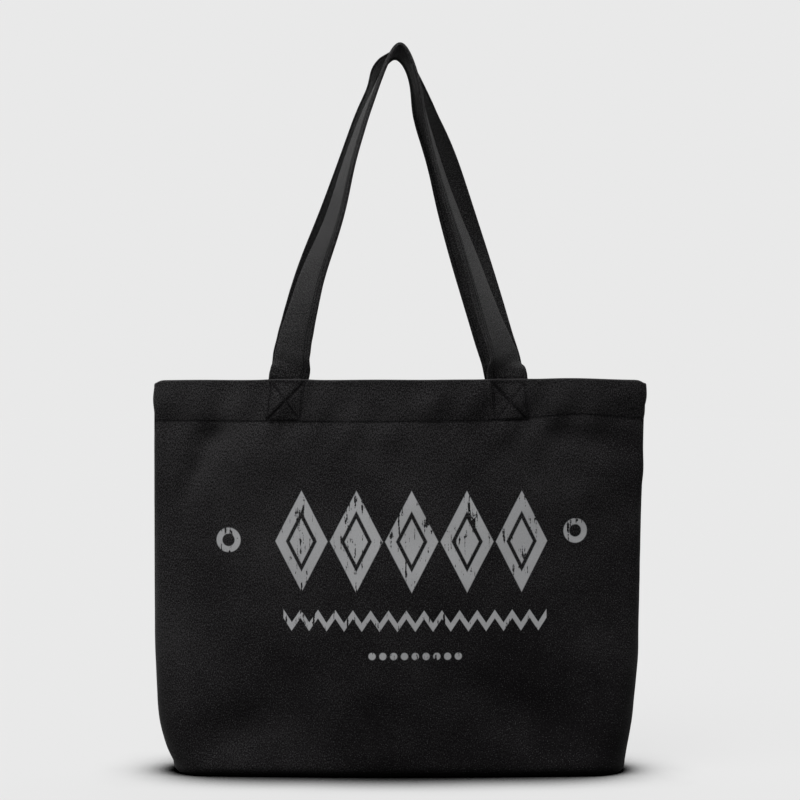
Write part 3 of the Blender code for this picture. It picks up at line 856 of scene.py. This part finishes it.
# %% Helpers for node trees
def new_group(name, inputs, outputs):
    group = bpy.data.node_groups.new(name, "ShaderNodeTree")
    for socket_name, kind, value in inputs:
        socket = group.interface.new_socket(socket_name, in_out="INPUT", socket_type=kind)
        if value is not None:
            socket.default_value = value
    for socket_name, kind in outputs:
        group.interface.new_socket(socket_name, in_out="OUTPUT", socket_type=kind)
    return group, group.nodes.new("NodeGroupInput"), group.nodes.new("NodeGroupOutput")


def join(tree, value, socket):
    """Link a socket, or set a plain value."""
    if isinstance(value, bpy.types.NodeSocket):
        tree.links.new(value, socket)
    else:
        socket.default_value = value


def calc(tree, operation, *values):
    node = tree.nodes.new("ShaderNodeMath")
    node.operation = operation
    for value, socket in zip(values, node.inputs):
        join(tree, value, socket)
    return node.outputs[0]


def noise(tree, vector, scale, detail=2.0, roughness=0.5):
    node = tree.nodes.new("ShaderNodeTexNoise")
    join(tree, vector, node.inputs["Vector"])
    node.inputs["Scale"].default_value = scale
    node.inputs["Detail"].default_value = detail
    node.inputs["Roughness"].default_value = roughness
    return node.outputs["Fac"]


def stretch(tree, vector, scale):
    node = tree.nodes.new("ShaderNodeMapping")
    join(tree, vector, node.inputs["Vector"])
    node.inputs["Scale"].default_value = scale
    return node.outputs["Vector"]


def remap(tree, value, low, high, to_low=0.0, to_high=1.0):
    node = tree.nodes.new("ShaderNodeMapRange")
    for item, socket in zip((value, low, high, to_low, to_high), node.inputs):
        join(tree, item, socket)
    return node.outputs[0]


def use_group(tree, group, vector):
    node = tree.nodes.new("ShaderNodeGroup")
    node.node_tree = group
    tree.links.new(vector, node.inputs["Vector"])
    return node


def mix_colour(tree, factor, first, second):
    node = tree.nodes.new("ShaderNodeMix")
    node.data_type = "RGBA"
    join(tree, factor, node.inputs[0])
    join(tree, first, node.inputs[6])
    join(tree, second, node.inputs[7])
    return node.outputs[2]


# %% Plain weave: over one, under one
weave, weave_in, weave_out = new_group(
    "plain weave",
    [("Vector", "NodeSocketVector", None), ("Threads per metre", "NodeSocketFloat", 1600.0)],
    [("Height", "NodeSocketFloat")])
slip = weave.nodes.new("ShaderNodeVectorMath")
slip.operation = "MULTIPLY_ADD"
wander = weave.nodes.new("ShaderNodeTexNoise")
wander.inputs["Scale"].default_value = 90.0
weave.links.new(weave_in.outputs["Vector"], wander.inputs["Vector"])
weave.links.new(wander.outputs["Color"], slip.inputs[0])
slip.inputs[1].default_value = (0.0012, 0.0012, 0.0)
weave.links.new(weave_in.outputs["Vector"], slip.inputs[2])
parts = weave.nodes.new("ShaderNodeSeparateXYZ")
weave.links.new(slip.outputs[0], parts.inputs[0])
turns = calc(weave, "MULTIPLY", weave_in.outputs["Threads per metre"], math.pi)
warp = calc(weave, "SINE", calc(weave, "MULTIPLY", parts.outputs[0], turns))
weft = calc(weave, "SINE", calc(weave, "MULTIPLY", parts.outputs[1], turns))
over = calc(weave, "MULTIPLY", warp, weft)
tops = []
for thread_wave, lift in ((warp, 0.4), (weft, -0.4)):
    lifted = calc(weave, "MULTIPLY_ADD", over, lift, 0.6)
    tops.append(calc(weave, "MULTIPLY", calc(weave, "ABSOLUTE", thread_wave), lifted))
weave.links.new(calc(weave, "MAXIMUM", *tops), weave_out.inputs["Height"])

# %% [markdown]
# Dyed cotton is never one black. Thick places in the thread, called slubs, make short light dashes
# along and across the cloth, a little lint sits on top, and wide areas have faded by different
# amounts. These three are one group with three outputs, because they always come together.

# %% Slubs, lint and fading
fade, fade_in, fade_out = new_group(
    "worn cotton",
    [("Vector", "NodeSocketVector", None)],
    [("Slubs", "NodeSocketFloat"), ("Lint", "NodeSocketFloat"), ("Fading", "NodeSocketFloat")])
cloth_place = fade_in.outputs["Vector"]
along_warp = noise(fade, stretch(fade, cloth_place, (1500.0, 560.0, 1.0)), 1.0, 2.0)
along_weft = noise(fade, stretch(fade, cloth_place, (620.0, 1500.0, 1.0)), 1.0, 2.0)
grain = noise(fade, cloth_place, 1250.0, 1.0)
threads = calc(fade, "MULTIPLY_ADD", along_warp, 0.42, calc(fade, "MULTIPLY", along_weft, 0.16))
fade.links.new(calc(fade, "MULTIPLY_ADD", grain, 0.42, threads), fade_out.inputs["Slubs"])
specks = noise(fade, cloth_place, 1050.0, 0.0)
fade.links.new(remap(fade, specks, 0.68, 0.80), fade_out.inputs["Lint"])
broad = noise(fade, cloth_place, 11.0, 3.0, 0.6)
fade.links.new(broad, fade_out.inputs["Fading"])


# %% [markdown]
# A canvas material joins the groups. Colour and roughness come from the worn cotton, and the bump from
# the weave with the slubs on top. Hardly any light gets into the sewn creases, so shade is painted into
# the colour there from values stored on the points, and a highlight is painted along the rubbed top
# edge, where light from above catches its roll. A painted shading ramp leaves a face paler at its upper
# left than at its lower right, with less contrast in the grain there, as if the light fell off that way.
# Cotton fuzz glows where the cloth turns away, which is what Sheen is for, and it has very little mirror
# shine, so its specular level is low.

# %% Canvas
FACE_LEFT, FACE_RIGHT = -0.20, 0.20      # across the cloth, as its UV map counts it
FACE_LOW, FACE_HIGH = 0.08, 0.37         # and up it, from the base seam


def new_finish(name):
    """A material with its node tree and its shader."""
    material = bpy.data.materials.new(name)
    material.use_nodes = True
    return material, material.node_tree, material.node_tree.nodes["Principled BSDF"]


def raise_surface(tree, shader, height, strength, distance):
    """A bump from a height, wired to the shader."""
    raised = tree.nodes.new("ShaderNodeBump")
    raised.inputs["Strength"].default_value = strength
    raised.inputs["Distance"].default_value = distance
    tree.links.new(height, raised.inputs["Height"])
    tree.links.new(raised.outputs[0], shader.inputs["Normal"])


def canvas(name, dark, light, pitch, bump=0.32, sheen=0.05, painted_light_falloff=0.0):
    material, tree, shader = new_finish(name)
    uv = tree.nodes.new("ShaderNodeUVMap")
    uv.uv_map = "UVMap"
    worn = use_group(tree, fade, uv.outputs[0])
    woven = use_group(tree, weave, uv.outputs[0])
    woven.inputs["Threads per metre"].default_value = pitch
    slubs = remap(tree, worn.outputs["Slubs"], 0.42, 0.61)
    cloth_xy = tree.nodes.new("ShaderNodeSeparateXYZ")
    tree.links.new(uv.outputs[0], cloth_xy.inputs[0])
    across, up = cloth_xy.outputs[0], cloth_xy.outputs[1]
    # Painted shading: the grain's contrast falls off towards the lower right, as light from the upper left
    # would make it.
    upward = remap(tree, up, FACE_LOW, FACE_HIGH, 0.90 - 0.25 * painted_light_falloff, 0.90 + 0.25 * painted_light_falloff)
    rightward = remap(tree, across, FACE_LEFT, FACE_RIGHT, 0.0, 0.24 * painted_light_falloff)
    contrast = calc(tree, "SUBTRACT", upward, rightward)
    grain = calc(tree, "MULTIPLY", calc(tree, "SUBTRACT", slubs, 0.5), contrast)
    tone = calc(tree, "MULTIPLY_ADD", worn.outputs["Fading"], 0.75, grain)
    tone = calc(tree, "ADD", calc(tree, "SUBTRACT", tone, 0.09), worn.outputs["Lint"])
    # Painted shade and highlight: the values stored on the points darken the colour in the sewn creases and
    # lighten it along the top edge.
    sewn = tree.nodes.new("ShaderNodeAttribute")
    sewn.attribute_name = "painted_shade_and_highlight"
    tone = calc(tree, "SUBTRACT", tone, calc(tree, "MULTIPLY", sewn.outputs["Fac"], 0.42))
    # Painted shading: the tone is paler at the upper left and darker at the lower right, as if lit from
    # there.
    painted_falloff_tone = remap(tree, across, FACE_LEFT, FACE_RIGHT, 0.03 * painted_light_falloff, -0.09 * painted_light_falloff)
    tone = calc(tree, "ADD", tone, painted_falloff_tone)
    painted_falloff_tone = remap(tree, up, FACE_LOW, FACE_HIGH, -0.18 * painted_light_falloff, 0.06 * painted_light_falloff)
    tone = calc(tree, "ADD", tone, painted_falloff_tone)
    colour = mix_colour(tree, tone, (*dark, 1), (*light, 1))
    tree.links.new(colour, shader.inputs["Base Color"])
    tree.links.new(remap(tree, slubs, 0.0, 1.0, 0.92, 0.80), shader.inputs["Roughness"])
    shader.inputs["Specular IOR Level"].default_value = 0.14
    shader.inputs["Sheen Weight"].default_value = sheen
    shader.inputs["Sheen Roughness"].default_value = 0.40
    height = calc(tree, "MULTIPLY_ADD", worn.outputs["Slubs"], 0.3, woven.outputs["Height"])
    raise_surface(tree, shader, height, bump, 0.0004)
    return material


INK_BLACK, FADED_BLACK = (0.0022, 0.0018, 0.0023), (0.0640, 0.0622, 0.0640)
body_canvas = canvas("black canvas", INK_BLACK, FADED_BLACK, 1600.0, painted_light_falloff=1.0)
plain_inside = canvas("canvas inside", (0.0020, 0.0018, 0.0021), (0.0500, 0.0490, 0.0500), 1600.0)
strap_canvas = canvas("strap canvas", INK_BLACK, (0.088, 0.0866, 0.088), 1500.0, bump=0.6, sheen=0.16)
bound_canvas = canvas("bound canvas", INK_BLACK, FADED_BLACK, 1600.0)


# %% [markdown]
# Polyester thread is smoother than cotton and a little glossier, so a row of stitches shows as small
# soft lights. Its twist is a fine slanted ripple.

# %% Thread
def thread(name, colour):
    material, tree, shader = new_finish(name)
    place = tree.nodes.new("ShaderNodeTexCoord").outputs["Object"]
    grain = noise(tree, place, 900.0, 2.0)
    dark, light = ((*(part * share for part in colour), 1) for share in (0.6, 1.5))
    tree.links.new(mix_colour(tree, grain, dark, light), shader.inputs["Base Color"])
    tree.links.new(remap(tree, grain, 0.3, 0.7, 0.45, 0.70), shader.inputs["Roughness"])
    shader.inputs["Specular IOR Level"].default_value = 0.25
    twist = tree.nodes.new("ShaderNodeTexWave")
    twist.bands_direction = "DIAGONAL"
    twist.inputs["Scale"].default_value = 420.0
    tree.links.new(place, twist.inputs["Vector"])
    raise_surface(tree, shader, twist.outputs["Fac"], 0.3, 0.0002)
    return material


black_thread = thread("black thread", (0.0110, 0.0110, 0.0118))
binding_thread = thread("binding thread", (0.016, 0.016, 0.017))
# The strap thread is paler than the others: a painted highlight for the glints on its stitches.
painted_glint_thread = thread("strap thread with painted glints", (0.034, 0.034, 0.035))

# %% [markdown]
# ## The print
# The front carries a screen print in grey ink: five tall lozenges with a ring cut out of each, a
# zigzag band, a row of dots, and a ring on either side. Each shape is a distance worked out with plain
# arithmetic, so it stays sharp at any size. What repeats is folded into one cell with a rounded and
# clamped index. The group puts out one mask, and the canvas material mixes the ink in with it.

# %% Sizes of the print
front_grid = laid_panel(FRONT)
middle_column = front_grid[:, COLUMNS // 2]
climb = np.concatenate([[0], np.cumsum(np.linalg.norm(np.diff(middle_column, axis=0), axis=1))])
at_print = int(np.argmin(np.abs(middle_column[:len(middle_column) // 2 + 40, 2] - 0.180)))
PRINT_RISE = float(climb[at_print] - middle_column[at_print, 2])
print(f"cloth below the print adds {PRINT_RISE:.4f} m to its height")

PRINT_MIDDLE = 0.013
LOZENGE_MIDDLE, LOZENGE_HEIGHT, LOZENGE_PITCH = 0.010, 0.2015, 0.0475
TOOTH_PITCH, TOOTH_SLOPE = 0.0152, 1.45
BAND_LOW, BAND_HALF, BAND_REACH = 0.1285, 0.0036, 0.1138
DOT_PITCH, DOT_HEIGHT, DOT_RADIUS = 0.0092, 0.104, 0.0031
RINGS = ((-0.149, 0.202), (0.153, 0.210))
RING_RADIUS, RING_HALF = 0.0080, 0.0026

# %% Print mask
printed, printed_in, printed_out = new_group(
    "screen print",
    [("Vector", "NodeSocketVector", None), ("Rise", "NodeSocketFloat", 0.0),
     ("Softness", "NodeSocketFloat", 0.00035)],
    [("Ink", "NodeSocketFloat")])


def plus(*values):
    total = values[0]
    for value in values[1:]:
        total = calc(printed, "ADD", total, value)
    return total


def minus(value, other):
    return calc(printed, "SUBTRACT", value, other)


def times(value, other):
    return calc(printed, "MULTIPLY", value, other)


cloth_xy = printed.nodes.new("ShaderNodeSeparateXYZ")
printed.links.new(printed_in.outputs["Vector"], cloth_xy.inputs[0])
print_x = cloth_xy.outputs[0]
print_z = minus(cloth_xy.outputs[1], printed_in.outputs["Rise"])
soft = printed_in.outputs["Softness"]
sharp = times(soft, -1.0)


def inside(distance):
    """1 where a distance is negative, 0 where it is positive, with a soft edge."""
    return remap(printed, distance, sharp, soft, 1.0, 0.0)


def cell(value, centre, pitch, reach):
    """Distance from the middle of the nearest of several equal cells."""
    shifted = minus(value, centre)
    index = calc(printed, "ROUND", calc(printed, "DIVIDE", shifted, pitch))
    index = calc(printed, "MINIMUM", calc(printed, "MAXIMUM", index, -reach), reach)
    return minus(shifted, times(index, pitch))


def away(value, centre):
    return calc(printed, "ABSOLUTE", minus(value, centre))


def far(dx, dz):
    """Distance from a point that lies dx to the side and dz below."""
    return calc(printed, "SQRT", plus(times(dx, dx), times(dz, dz)))


def lozenge(width, height):
    """Distance outside a lozenge of this half width and half height, in the row of five."""
    column = cell(print_x, LOZENGE_MIDDLE, LOZENGE_PITCH, 2.0)
    across = calc(printed, "DIVIDE", calc(printed, "ABSOLUTE", column), width)
    up = calc(printed, "DIVIDE", away(print_z, LOZENGE_HEIGHT), height)
    return times(minus(plus(across, up), 1.0), width * 0.9)


cut = minus(inside(lozenge(0.0135, 0.0262)), inside(lozenge(0.0100, 0.0194)))
lozenges = minus(inside(lozenge(0.0228, 0.0435)), cut)

tooth = calc(printed, "ABSOLUTE", cell(print_x, PRINT_MIDDLE, TOOTH_PITCH, 7.0))
line_height = calc(printed, "MULTIPLY_ADD", tooth, TOOTH_SLOPE, BAND_LOW)
band = times(inside(minus(away(print_z, line_height), BAND_HALF)),
             inside(minus(away(print_x, PRINT_MIDDLE), BAND_REACH)))

dot = far(cell(print_x, PRINT_MIDDLE, DOT_PITCH, 4.0), minus(print_z, DOT_HEIGHT))
dots = inside(minus(dot, DOT_RADIUS))

rings = []
for x, z in RINGS:
    ring = away(far(minus(print_x, x), minus(print_z, z)), RING_RADIUS)
    rings.append(inside(minus(ring, RING_HALF)))
marks = plus(lozenges, band, dots, *rings)

# %% Wear of the ink
cloth_uv = printed_in.outputs["Vector"]
cracks = noise(printed, stretch(printed, cloth_uv, (330.0, 34.0, 1.0)), 1.0, 4.0, 0.65)
patches = noise(printed, cloth_uv, 55.0, 3.0, 0.6)
flakes = noise(printed, cloth_uv, 520.0, 2.0, 0.6)
kept = remap(printed, plus(times(cracks, 0.55), times(patches, 0.33), times(flakes, 0.12)), 0.425, 0.445)
printed.links.new(times(kept, calc(printed, "MINIMUM", marks, 1.0)), printed_out.inputs["Ink"])

# %% Ink over canvas
printed_canvas = canvas("printed canvas", INK_BLACK, FADED_BLACK, 1600.0, painted_light_falloff=1.0)
tree = printed_canvas.node_tree
shader = tree.nodes["Principled BSDF"]
uv = next(node for node in tree.nodes if node.type == "UVMAP")
ink = use_group(tree, printed, uv.outputs[0])
ink.inputs["Rise"].default_value = PRINT_RISE
worn = next(node for node in tree.nodes if node.type == "GROUP" and node.node_tree == fade)
ink_tone = mix_colour(tree, worn.outputs["Slubs"], (0.27, 0.272, 0.278, 1), (0.60, 0.604, 0.615, 1))
plain_cloth = shader.inputs["Base Color"].links[0].from_socket
tree.links.new(mix_colour(tree, ink.outputs["Ink"], plain_cloth, ink_tone), shader.inputs["Base Color"])

# %% Dress the pieces
for piece, outside in ((front_body, printed_canvas), (back_body, body_canvas)):
    piece.data.materials[0] = outside
    piece.data.materials[1] = plain_inside
for piece in (front_strap, back_strap):
    piece.data.materials.append(strap_canvas)
for piece in (*hem_threads.values(), *cross_threads.values()):
    piece.data.materials.append(black_thread)
for piece in (front_strap_thread, back_strap_thread):
    piece.data.materials.append(painted_glint_thread)
for strip, loops in bindings.values():
    strip.data.materials.append(bound_canvas)
    loops.data.materials.append(binding_thread)

# %% [markdown]
# ## Tell the frame what each piece is
# Cloth and thread that stay with the bag ride on it. A strap crosses its hinge line just above the hem;
# the frame's handle parts are hidden, and each strap and its stitches only have their placing baked into
# their points, without being given a body.

# %% Frame calls
for piece, side in ((front_body, "front"), (back_body, "back")):
    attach(piece, "bag")
    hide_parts(f"{side}_panel", f"{side}_hem_facing")
    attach(hem_threads[side], "bag")
    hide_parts(f"{side}_hem_stitch")
for name, piece in cross_threads.items():
    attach(piece, "bag")
    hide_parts(f"{name}_stitch")
for name, (strip, loops) in bindings.items():
    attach(strip, "bag")
    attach(loops, "bag")
    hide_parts(name)
straps = ((front_strap, front_strap_thread, "front"), (back_strap, back_strap_thread, "back"))
for piece, rows, side in straps:
    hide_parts(f"{side}_handle", f"{side}_left_strap_end", f"{side}_right_strap_end")
    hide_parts(f"{side}_handle_stitch")
    for item in (piece, rows):
        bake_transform(item)


def flat_size(side):
    """Width and length that a panel was cut to, from its laid grid."""
    grid = laid_panel(side)
    width = np.linalg.norm(np.diff(grid[len(grid) // 2], axis=0), axis=1).sum()
    length = np.linalg.norm(np.diff(grid[:, COLUMNS // 2], axis=0), axis=1).sum()
    return float(width), float(length)


for piece, side in ((front_body, FRONT), (back_body, BACK)):
    width, length = flat_size(side)
    print(f"{piece.name}: cut {width:.3f} x {length:.3f} m")
for piece, side in ((front_strap, FRONT), (back_strap, BACK)):
    length = strap_line(side)[3] + 2 * SEWN
    print(f"{piece.name}: sewn strap {STRAP_WIDTH:.3f} x {length:.3f} m")

# %% [markdown]
# ## Floor, light and camera
# The bag stands on a pale floor in soft light from above, a little from the front and the left. Light
# from above is what shows a black bag: it catches the hem's edge, the sloping straps and the upper
# lips of the dents, and it leaves the upright sides dark. A sun lamp with a very wide angle is as soft
# as a big lamp overhead, and it lights the floor evenly as far as the eye can see. The world adds a
# weak light from all round and a stronger one from behind, for the back of the bag. To the camera it
# looks as bright as the floor, so the two meet without a line. Ambient occlusion darkens the floor
# close to the bag, which makes the soft dark rim of something that stands with its weight on a surface.

# %% Floor
FLOOR_TONE = 0.815         # as bright as the floor and the surroundings look
OVERHEAD = 0.686           # light that reaches the floor from the lamp
SURROUND = 0.20            # and from all round
BEHIND = 1.60              # extra light straight from behind
FLOOR_COLOUR = FLOOR_TONE / (OVERHEAD + SURROUND + BEHIND * 2 / (3 * math.pi))
BOUNCE_COLOUR = 0.17       # what the floor sends back at the bag
OWN_GLOW = 0.86            # share of the floor's look that no light changes
SHADOW_REACH = 0.085       # of the dark rim where the bag stands
SHADOW_DARK, SHADOW_CLEAR = 0.50, 0.94   # open share of the sky at its darkest, and at its end
bpy.ops.mesh.primitive_plane_add(size=60, location=(0, 0, 0))
floor = bpy.context.object
floor.name = "floor"
floor_material, floor_tree, floor_shader = new_finish("pale floor")
floor_shader.inputs["Roughness"].default_value = 1.0
floor_shader.inputs["Specular IOR Level"].default_value = 0.0
path_kind = floor_tree.nodes.new("ShaderNodeLightPath").outputs["Is Camera Ray"]
floor_colour = mix_colour(floor_tree, path_kind, (BOUNCE_COLOUR,) * 3 + (1,), (FLOOR_COLOUR,) * 3 + (1,))
floor_tree.links.new(floor_colour, floor_shader.inputs["Base Color"])
glow = floor_tree.nodes.new("ShaderNodeEmission")
glow.inputs["Color"].default_value = (FLOOR_TONE,) * 3 + (1,)
floor_mix = floor_tree.nodes.new("ShaderNodeMixShader")
floor_tree.links.new(calc(floor_tree, "MULTIPLY", path_kind, OWN_GLOW), floor_mix.inputs[0])
floor_tree.links.new(floor_shader.outputs[0], floor_mix.inputs[1])
floor_tree.links.new(glow.outputs[0], floor_mix.inputs[2])
near = floor_tree.nodes.new("ShaderNodeAmbientOcclusion")
near.inputs["Distance"].default_value = SHADOW_REACH
open_floor = floor_tree.nodes.new("ShaderNodeMapRange")
open_floor.interpolation_type = "SMOOTHSTEP"
floor_tree.links.new(near.outputs["AO"], open_floor.inputs["Value"])
open_floor.inputs["From Min"].default_value = SHADOW_DARK
open_floor.inputs["From Max"].default_value = SHADOW_CLEAR
contact_mix = floor_tree.nodes.new("ShaderNodeMixShader")
floor_tree.links.new(open_floor.outputs[0], contact_mix.inputs[0])
floor_tree.links.new(floor_mix.outputs[0], contact_mix.inputs[2])
floor_tree.links.new(contact_mix.outputs[0], floor_tree.nodes["Material Output"].inputs["Surface"])
floor.data.materials.append(floor_material)
floor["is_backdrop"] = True

# %% World and light from above
world = bpy.data.worlds.new("studio")
bpy.context.scene.world = world
world.use_nodes = True
sky = world.node_tree
surround = sky.nodes["Background"]
heading = sky.nodes.new("ShaderNodeSeparateXYZ")
sky.links.new(sky.nodes.new("ShaderNodeTexCoord").outputs["Generated"], heading.inputs[0])
strength = remap(sky, heading.outputs[1], 0.0, 1.0, SURROUND, SURROUND + BEHIND)
sky.links.new(strength, surround.inputs["Strength"])
surround.inputs["Color"].default_value = (1, 1, 1, 1)
seen = sky.nodes.new("ShaderNodeBackground")
seen.inputs["Color"].default_value = (FLOOR_TONE, FLOOR_TONE, FLOOR_TONE, 1)
which = sky.nodes.new("ShaderNodeMixShader")
sky.links.new(sky.nodes.new("ShaderNodeLightPath").outputs["Is Camera Ray"], which.inputs[0])
sky.links.new(surround.outputs[0], which.inputs[1])
sky.links.new(seen.outputs[0], which.inputs[2])
sky.links.new(which.outputs[0], sky.nodes["World Output"].inputs["Surface"])

TILT_FRONT, TILT_LEFT = math.radians(27), math.radians(20)
overhead = bpy.data.lights.new("overhead light", "SUN")
overhead.angle = math.radians(50)
overhead.energy = OVERHEAD * math.pi / (math.cos(TILT_FRONT) * math.cos(TILT_LEFT))
lamp = bpy.data.objects.new("overhead light", overhead)
bpy.context.scene.collection.objects.link(lamp)
towards = Vector((-math.tan(TILT_LEFT), -math.tan(TILT_FRONT), 1.0))
lamp.rotation_euler = towards.to_track_quat("Z", "Y").to_euler()

# %% Camera
camera_data = bpy.data.cameras.new("camera")
camera_data.sensor_width = 36
camera_data.lens = 82.3
camera = bpy.data.objects.new("camera", camera_data)
bpy.context.scene.collection.objects.link(camera)
camera.location = (0, -1.6, 0.3225)
camera.rotation_euler = (math.pi / 2, 0, 0)
bpy.context.scene.camera = camera
bpy.context.scene.view_settings.view_transform = "Standard"

# %% Finish
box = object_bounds()
for old, new in zip(cad_box, box):
    print("corner moved by (mm):", [round((b - a) * 1000, 1) for a, b in zip(old, new)])
